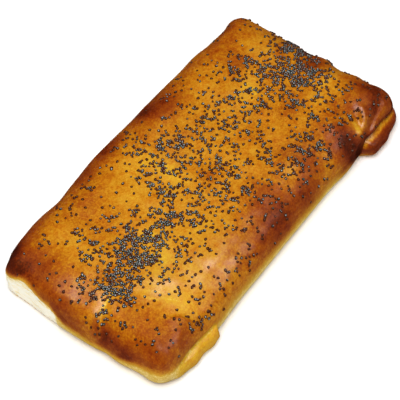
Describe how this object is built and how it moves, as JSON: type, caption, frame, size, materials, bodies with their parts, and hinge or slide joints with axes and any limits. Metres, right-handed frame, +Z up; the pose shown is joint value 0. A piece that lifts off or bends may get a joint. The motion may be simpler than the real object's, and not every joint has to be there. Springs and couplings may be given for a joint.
{
  "type": "khachapuri",
  "caption": "Rectangular folded cheese bread with a glossy browned crust, soft lobes at one end, pale lower dough at the edges and poppy seeds on top.",
  "frame": {"origin": "middle of the underside's box, on the surface that the bread lies on", "axes": "+X along the bread's long side, from the end with the two lobes to the end with the folded corner; +Z up"},
  "size_m": [0.1596, 0.0876, 0.021],
  "materials": {
    "baked_crust": "egg-washed dough baked golden to red brown, glossy",
    "poppy_seed": "slate grey poppy seed, satin"
  },
  "bodies": {
    "root": {"khachapuri": "baked_crust"}
  },
  "joints": []
}
